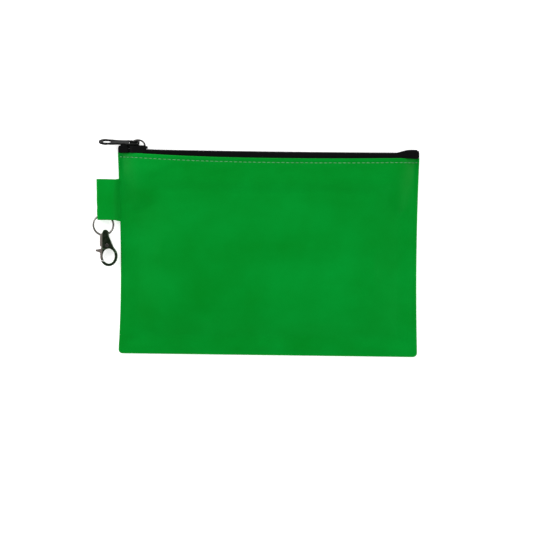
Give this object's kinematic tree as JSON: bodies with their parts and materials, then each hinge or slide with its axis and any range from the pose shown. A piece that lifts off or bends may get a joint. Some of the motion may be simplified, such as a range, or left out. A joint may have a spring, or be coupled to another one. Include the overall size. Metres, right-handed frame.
{
  "type": "cash deposit bag",
  "caption": "Flat zipped cash deposit bag: two sewn vinyl panels, a coil zip with slider and pull along the top edge, and a side tab with a wire ring and lobster clasp.",
  "frame": {"origin": "middle of the back panel's outer face, on the surface that the bag lies on", "axes": "+X along the zip away from the closed slider, +Y across the bag towards the zip, +Z out of the front panel"},
  "size_m": [0.2226, 0.1464, 0.0097],
  "materials": {
    "vinyl": "soft satin leatherette, fine grain",
    "thread": "matte spun thread",
    "zip_tape": "matte woven tape",
    "zip_coil": "satin nylon",
    "zip_metal": "black enamel over zinc, worn bright on edges",
    "nickel": "dark nickel plate"
  },
  "bodies": {
    "bag": {"front_panel": "vinyl", "back_panel": "vinyl", "front_tape": "zip_tape", "back_tape": "zip_tape", "front_coil": "zip_coil", "back_coil": "zip_coil", "top_stop_front": "zip_metal", "top_stop_back": "zip_metal", "bottom_stop": "zip_metal", "topstitch_front": "thread", "topstitch_back": "thread", "seam_thread": "thread", "tab_loop": "vinyl", "tab_bartack": "thread"},
    "slider": {"slider_body": "zip_metal", "slider_bridge": "zip_metal"},
    "pull": {"pull_tab": "zip_metal"},
    "ring": {"ring": "nickel"},
    "clasp": {"clasp_body": "nickel", "clasp_pin": "nickel", "clasp_spring": "nickel"},
    "gate": {"clasp_gate": "nickel"}
  },
  "joints": [
    {"name": "zip_slide", "type": "slide", "parent": "bag", "child": "slider", "axis": [1, 0, 0], "range_m": [0, 0.176]},
    {"name": "pull_swing", "type": "hinge", "parent": "slider", "child": "pull", "pos_m": [-0.0893, 0.0738, 0.0045], "axis": [0, 0.4067, -0.9135], "range_deg": [0, 170]},
    {"name": "ring_swing", "type": "hinge", "parent": "bag", "child": "ring", "pos_m": [-0.1126, 0.0245, 0.0036], "axis": [1, 0, 0], "range_deg": [-14, 14]},
    {"name": "clasp_swing", "type": "hinge", "parent": "ring", "child": "clasp", "pos_m": [-0.1116, 0.0113, 0.0036], "axis": [1, 0, 0], "range_deg": [-100, 100]},
    {"name": "gate_open", "type": "hinge", "parent": "clasp", "child": "gate", "pos_m": [-0.1097, 0.0038, 0.0036], "axis": [0, 0, 1], "range_deg": [0, 26], "stiffness_Nm_per_rad": 0.004, "springref_deg": -20.05}
  ]
}
